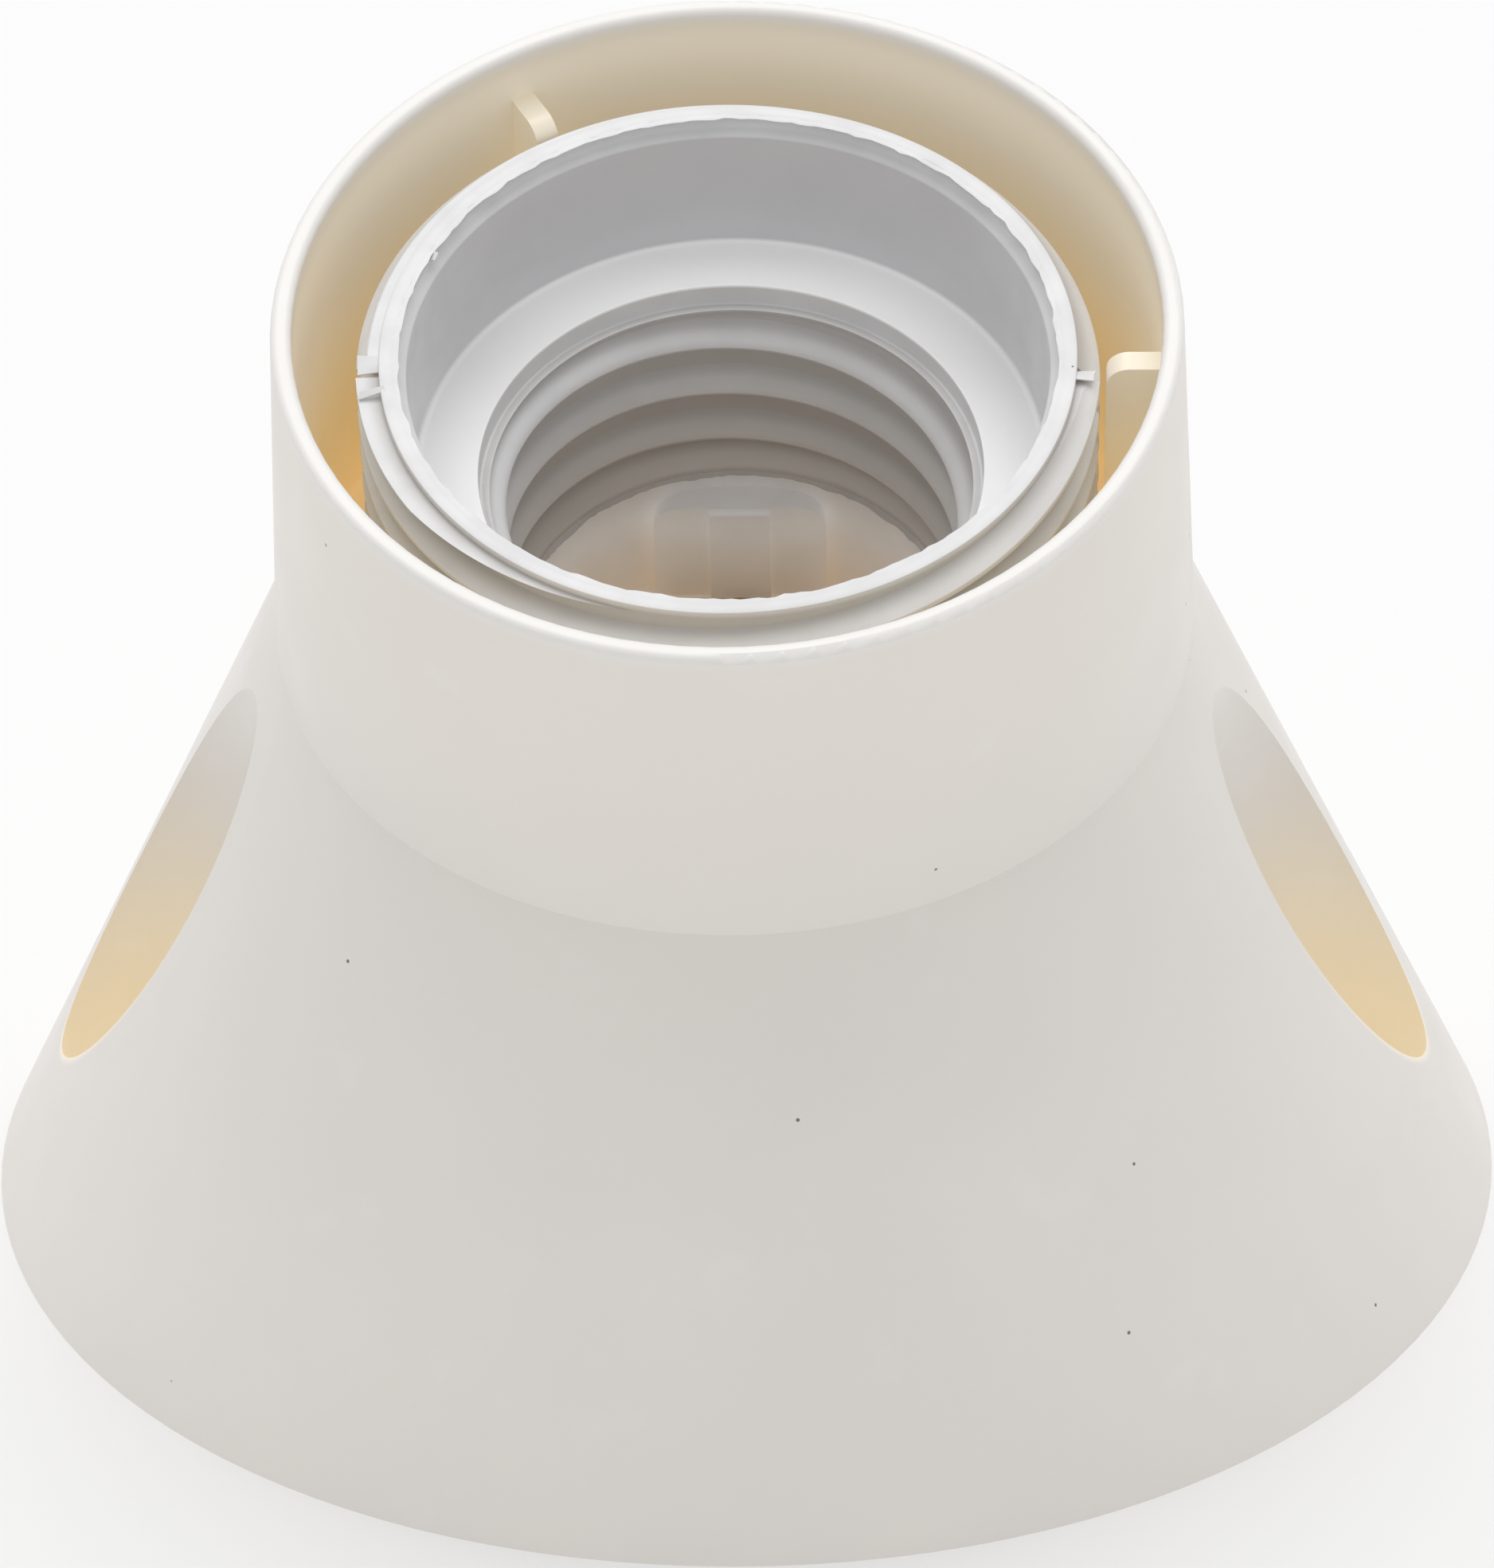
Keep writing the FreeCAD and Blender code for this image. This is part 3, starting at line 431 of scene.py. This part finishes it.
body = settle(bm, "sleeve_body", sleeve_finish)
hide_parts("lamp_sleeve")

# Outside thread, front mould half: short bold ridges, cut off a step below the ring's top.
RIDGES = 6
RIDGE_RADIUS = 19.78
RIDGE_SPACING = 2.4
RIDGE_ROUND = 0.06
FRONT_START, FRONT_SWEEP, FRONT_CLIMB = 184.0, 172.0, 4.2
FRONT_FIRST = SLEEVE_TOP + 0.80
FRONT_STEP = 0.45
bm = bmesh.new()
for turn in range(RIDGES):
    shoulder = FRONT_FIRST + turn * RIDGE_SPACING
    coil(bm, [(CORE_RADIUS - EMBED, shoulder + 0.55), (CORE_RADIUS, shoulder + 0.50),
              (RIDGE_RADIUS, shoulder), (RIDGE_RADIUS, shoulder - 0.35),
              (CORE_RADIUS, shoulder - 1.0), (CORE_RADIUS - EMBED, shoulder - 1.05)],
         FRONT_START, FRONT_SWEEP, FRONT_CLIMB)
trim_above(bm, SLEEVE_TOP + FRONT_STEP)
round_off(bm, RIDGE_ROUND)
settle(bm, "shade_thread_front", sleeve_finish)

# Outside thread, back mould half: long upper flanks that read as a broad bevelled ring.
BACK_START, BACK_SWEEP, BACK_CLIMB = -2.0, 183.0, 2.2
BACK_FIRST = SLEEVE_TOP + 2.05
BACK_STEP = 0.15
bm = bmesh.new()
for turn in range(RIDGES):
    crest = BACK_FIRST + turn * RIDGE_SPACING
    coil(bm, [(CORE_RADIUS - EMBED, crest + 0.60), (CORE_RADIUS, crest + 0.55),
              (RIDGE_RADIUS, crest + 0.12), (RIDGE_RADIUS, crest),
              (CORE_RADIUS - 0.1, crest - 1.65), (CORE_RADIUS - EMBED, crest - 1.75)],
         BACK_START, BACK_SWEEP, BACK_CLIMB)
trim_above(bm, SLEEVE_TOP + BACK_STEP)
round_off(bm, RIDGE_ROUND)
settle(bm, "shade_thread_back", sleeve_finish)

# Lamp thread: one rounded right-hand ridge inside the tube, two and three quarter turns.
LAMP_PITCH = 3.629
LAMP_START, LAMP_SWEEP = -15.0, 975.0
LAMP_FADE, LAMP_INTO_WALL = 12.0, 1.15
THREAD_HALF = 1.25
WAVE_STEPS = 6
CREST_AT_START = 23.4
bm = bmesh.new()
wave = [(BORE_RADIUS - THREAD_DEPTH * (0.5 + 0.5 * cos(pi * i / WAVE_STEPS)),
         CREST_AT_START + THREAD_HALF * i / WAVE_STEPS) for i in range(-WAVE_STEPS, WAVE_STEPS + 1)]
coil(bm, [(BORE_RADIUS + EMBED, CREST_AT_START - THREAD_HALF)] + wave
     + [(BORE_RADIUS + EMBED, CREST_AT_START + THREAD_HALF)],
     LAMP_START, LAMP_SWEEP, LAMP_PITCH, LAMP_FADE, LAMP_INTO_WALL)
settle(bm, "lamp_thread", sleeve_finish)


# ---- Mould flash ---------------------------------------------------------------
# Paper-thin torn plastic left where the mould closed: a ragged skin round the ring's
# inner edge and the tube's lip, and small flaps on the two parting lines.
FLASH_THICKNESS = 0.09
FLASH_HOLD = 0.15
RING_FLASH_REACH = 0.22
TUBE_FLASH_REACH = 0.35
FLAP_RISE = 0.15
FLAP_CLIMB = -30.0
FLAP_CRUMPLE = 0.28
FLAP_SEED = 7
# Each flap: its angle, how far it sweeps, and its inner and outer radius.
FLAPS = ((180.6, 2.6, 18.0, 19.6), (187.5, 1.2, 18.4, 19.7), (354.5, 2.2, 18.0, 19.6),
         (154.0, 1.6, 17.3, 18.2))


def torn_rim(bm, radius, depth, inward, seed):
    """A thin ring whose free edge wanders and has a few longer whiskers."""
    root, tip = radius + FLASH_HOLD, radius - inward
    revolve(bm, [(root, depth - FLASH_THICKNESS / 2), (tip, depth), (root, depth + FLASH_THICKNESS / 2)])
    for vert in bm.verts:
        away = vert.co.xy.length
        if away > radius or abs(-vert.co.z - depth) > FLASH_THICKNESS:
            continue
        wander = noise.noise(Vector((vert.co.x, vert.co.y, seed)) * 0.9)
        tear = max(0.0, noise.noise(Vector((vert.co.x, vert.co.y, seed + 7)) * 2.3) - 0.25)
        vert.co.xy *= 1 - (0.14 * wander + 0.9 * tear * inward) / away
        vert.co.z += 0.12 * noise.noise(Vector((vert.co.x, vert.co.y, seed + 3)) * 1.7)


def flap(bm, angle, sweep, inner, outer, depth):
    """A torn scrap lying over the ring's top at a parting line, thin and sloping."""
    coil(bm, [(inner, depth), (outer, depth + FLAP_RISE), (outer, depth + FLAP_RISE + FLASH_THICKNESS),
              (inner, depth + FLASH_THICKNESS)], angle, sweep, FLAP_CLIMB)


bm = bmesh.new()
torn_rim(bm, RING_INNER, SLEEVE_TOP + 0.05, RING_FLASH_REACH, 1.0)
settle(bm, "ring_flash", sleeve_finish)
bm = bmesh.new()
torn_rim(bm, BORE_RADIUS - THREAD_DEPTH, TUBE_END - 0.3, TUBE_FLASH_REACH, 5.0)
settle(bm, "tube_flash", sleeve_finish)
bm = bmesh.new()
for angle, sweep, inner, outer in FLAPS:
    flap(bm, angle, sweep, inner, outer, SLEEVE_TOP + 0.02)
noise.seed_set(FLAP_SEED)
for vert in bm.verts:
    vert.co += FLAP_CRUMPLE * noise.noise_vector(vert.co * 0.8)
settle(bm, "parting_flaps", sleeve_finish)


# ---- Contact carrier -----------------------------------------------------------
# The insulating cup behind the sleeve, with the boss that carries the centre contact.
# The same white thermoplastic; deep down it is painted darker and warmer, and given a painted glow for the
# light that comes through the housing.
CARRIER_WHITE = (0.83, 0.82, 0.81, 1)
CARRIER_CLOUD = (0.78, 0.77, 0.75, 1)
CARRIER_PAINTED_WARM_SHADE = (0.74, 0.64, 0.54, 1)
CARRIER_GLOW = (1.0, 0.98, 0.97, 1)
CARRIER_GLOW_DEEP = (1.0, 0.84, 0.64, 1)
CARRIER_GLOW_STRENGTH = 0.13
CARRIER_WARM_SHADE_BAND = (27.5, 36.0)
CARRIER_GLOW_TINT_BAND = (27.5, 35.0)
CARRIER_GLOW_BAND = (24.0, 30.0)
CARRIER_CLOUDS = (3.0, 4)
CARRIER_PATCHES = (2.0, 4)
CARRIER_SPECKS = (2.2, 0.12, 0.15)
CARRIER_ROUGH = (0.34, 0.50)
CARRIER_SKIN = ((0.35, 2, 0.008), (2.0, 3, 0.03))


def carrier_white():
    finish = Finish("carrier_white")
    across, back, up = finish.split(finish.in_socket())
    depth = finish.math("MULTIPLY", up, -1.0)
    cloud = finish.rise(finish.noise(*CARRIER_CLOUDS), *NOISE_MIDDLE)
    white = finish.blend(cloud, CARRIER_WHITE, CARRIER_CLOUD)
    # Painted shade, warm-tinted, deep down in the cup.
    colour = finish.blend(finish.band(depth, *CARRIER_WARM_SHADE_BAND), white, CARRIER_PAINTED_WARM_SHADE)
    colour = finish.blend(finish.specks(*CARRIER_SPECKS), colour, SPECK_BROWN)
    finish.feed(finish.shader.inputs["Base Color"], colour)
    rough = finish.rise(finish.noise(*CARRIER_PATCHES), *NOISE_MIDDLE, *CARRIER_ROUGH)
    finish.feed(finish.shader.inputs["Roughness"], rough)
    # Painted glow, warmer deeper down.
    tint = finish.blend(finish.band(depth, *CARRIER_GLOW_TINT_BAND), CARRIER_GLOW, CARRIER_GLOW_DEEP)
    finish.feed(finish.shader.inputs["Emission Color"], tint)
    glow = finish.band(depth, *CARRIER_GLOW_BAND, 0.0, CARRIER_GLOW_STRENGTH)
    finish.feed(finish.shader.inputs["Emission Strength"], glow)
    finish.skin(*CARRIER_SKIN)
    return finish.material


dress("contact_carrier", carrier_white())


# ---- Contacts, terminals and fasteners -----------------------------------------
# Spring-brass leaves held by brass rivets, milled brass blocks, and zinc-plated slotted screws.
# The metal has dulled in patches and keeps fine lines from rolling, milling and turning.
LINE_STRETCH = 0.08
LINE_SKIN = (0.12, 2, 0.006)


def worn_metal(name, bright, dull, grain_mm, rough):
    finish = Finish(name, metallic=1.0)
    patches = finish.rise(finish.noise(grain_mm, 5), 0.35, 0.65)
    colour = finish.blend(patches, bright, dull)
    finish.feed(finish.shader.inputs["Base Color"], colour)
    low, high = rough
    finish.feed(finish.shader.inputs["Roughness"], finish.rise(patches, 0.2, 0.8, low, high))
    drawn = finish.node("ShaderNodeMapping")
    finish.feed(drawn.inputs["Vector"], finish.in_socket())
    drawn.inputs["Scale"].default_value = (1.0, LINE_STRETCH, 1.0)
    finish.skin(LINE_SKIN, place=drawn.outputs["Vector"])
    return finish.material


leaf_brass = worn_metal("leaf_brass", (0.62, 0.44, 0.20, 1), (0.36, 0.25, 0.12, 1), 1.2, (0.28, 0.5))
block_brass = worn_metal("block_brass", (0.72, 0.54, 0.26, 1), (0.50, 0.37, 0.18, 1), 2.0, (0.22, 0.42))
zinc = worn_metal("zinc_plate", (0.72, 0.72, 0.74, 1), (0.52, 0.53, 0.56, 1), 0.9, (0.2, 0.38))
for name in ("centre_contact", "side_contact", "live_rivet", "neutral_rivet"):
    dress(name, leaf_brass)
for name in ("live_terminal", "neutral_terminal"):
    dress(name, block_brass)
for name in ("live_screw_left", "live_screw_right", "neutral_screw_left", "neutral_screw_right",
             "sleeve_screw_left", "sleeve_screw_right"):
    dress(name, zinc)


# ---- Studio --------------------------------------------------------------------
# A pale floor below the foot, a pale room all round, and one broad soft lamp above.
# The camera looks down on the socket from the front with a long lens.
FLOOR_HALF = 3.0
FLOOR_WHITE = (0.9, 0.9, 0.9, 1)
ROOM_STRENGTH = 0.665
LAMP_PLACE = Vector((0, 0.15, 0.9))
LAMP_SIZE = (0.9, 0.7)
LAMP_POWER = 4.3
CAMERA_LENS = 214.37
CAMERA_PLACE = (0.01125, -0.43840, 0.27016)
CAMERA_TURN = (60.691, 0.660, 1.057)

bm = bmesh.new()
bmesh.ops.create_grid(bm, x_segments=1, y_segments=1, size=FLOOR_HALF)
mesh = bpy.data.meshes.new("studio_floor")
bm.to_mesh(mesh)
bm.free()
floor = bpy.data.objects.new("studio_floor", mesh)
bpy.context.scene.collection.objects.link(floor)
floor_finish = Finish("floor_white", roughness=0.9)
floor_finish.feed(floor_finish.shader.inputs["Base Color"], FLOOR_WHITE)
mesh.materials.append(floor_finish.material)

world = bpy.data.worlds.new("pale_room")
world.use_nodes = True
world.node_tree.nodes["Background"].inputs["Color"].default_value = (1, 1, 1, 1)
world.node_tree.nodes["Background"].inputs["Strength"].default_value = ROOM_STRENGTH
bpy.context.scene.world = world

lamp_data = bpy.data.lights.new("top_lamp", "AREA")
lamp_data.shape = "RECTANGLE"
lamp_data.size, lamp_data.size_y = LAMP_SIZE
lamp_data.energy = LAMP_POWER
lamp = bpy.data.objects.new("top_lamp", lamp_data)
bpy.context.scene.collection.objects.link(lamp)
lamp.location = LAMP_PLACE
lamp.rotation_euler = (-LAMP_PLACE).to_track_quat("-Z", "Y").to_euler()

camera_data = bpy.data.cameras.new("camera")
camera_data.sensor_fit = "HORIZONTAL"
camera_data.sensor_width = 36
camera_data.lens = CAMERA_LENS
camera = bpy.data.objects.new("camera", camera_data)
bpy.context.scene.collection.objects.link(camera)
camera.location = CAMERA_PLACE
camera.rotation_euler = [radians(turn) for turn in CAMERA_TURN]
bpy.context.scene.camera = camera
bpy.context.scene.view_settings.view_transform = "Standard"
